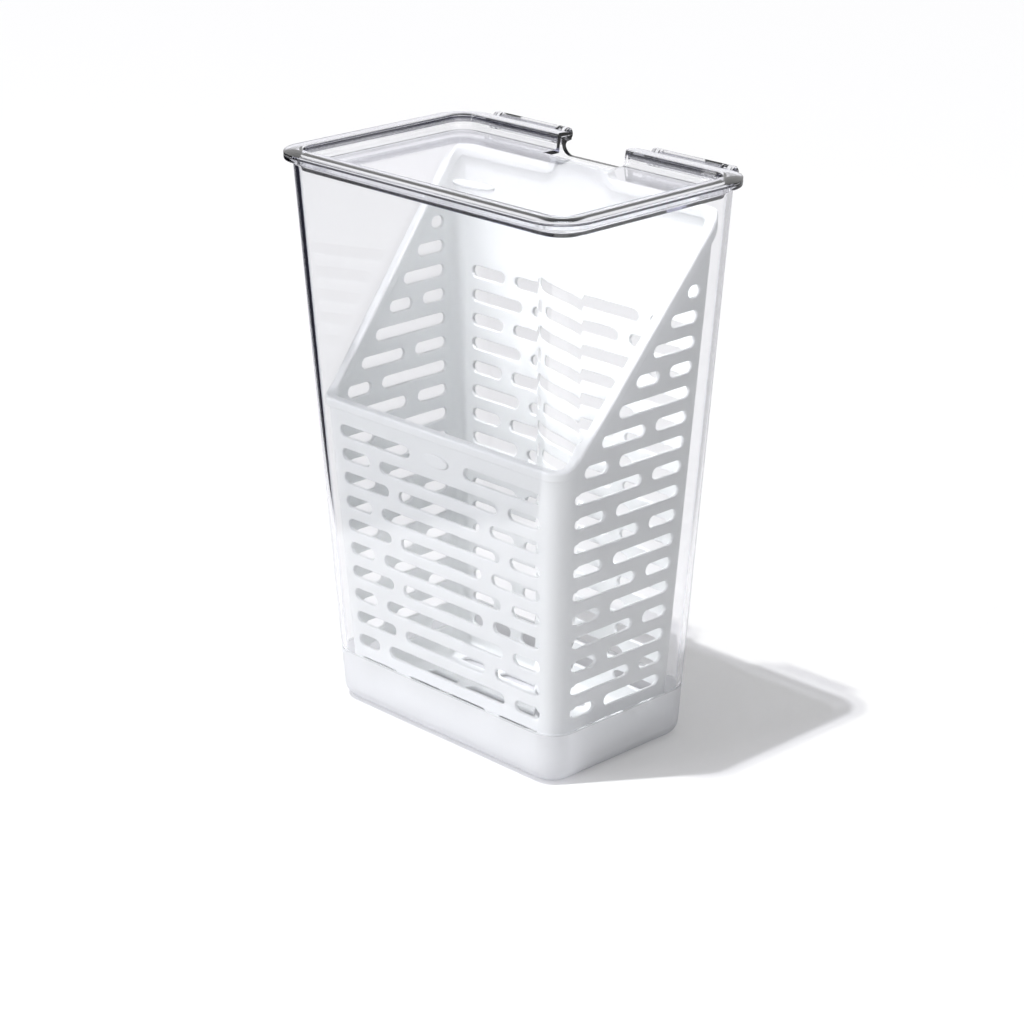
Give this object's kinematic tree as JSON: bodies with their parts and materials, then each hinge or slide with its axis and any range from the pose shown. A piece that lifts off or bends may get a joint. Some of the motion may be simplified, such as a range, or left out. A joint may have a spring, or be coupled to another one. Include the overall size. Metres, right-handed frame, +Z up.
{
  "type": "herb keeper",
  "caption": "Clear tapered herb keeper with a hinged lid and a slotted white basket that lifts out of its water well.",
  "frame": {"origin": "centre of the flat foot that the keeper stands on", "axes": "+X to the right along the wide front, +Y to the hinges at the back, +Z up"},
  "size_m": [0.2012, 0.1384, 0.287],
  "materials": {
    "clear_plastic": "gloss",
    "basket_plastic": "matte"
  },
  "bodies": {
    "container": {"container": "clear_plastic", "left_hinge_mount": "clear_plastic", "right_hinge_mount": "clear_plastic"},
    "lid": {"lid": "clear_plastic", "left_hinge_knuckle": "clear_plastic", "right_hinge_knuckle": "clear_plastic"},
    "basket": {"basket_floor": "basket_plastic", "basket_front_wall": "basket_plastic", "basket_left_wall": "basket_plastic", "basket_right_wall": "basket_plastic", "basket_back_wall": "basket_plastic"}
  },
  "joints": [
    {"name": "lid_hinge", "type": "hinge", "parent": "container", "child": "lid", "pos_m": [0, 0.0694, 0.2831], "axis": [-1, 0, 0], "range_deg": [0, 120]},
    {"name": "basket_lift", "type": "slide", "parent": "container", "child": "basket", "axis": [0, 0, 1], "range_m": [0, 0.0357]}
  ],
  "couplings": [
    {"joint": "basket_lift", "follows": "lid_hinge", "m_per_rad": 0.017}
  ]
}
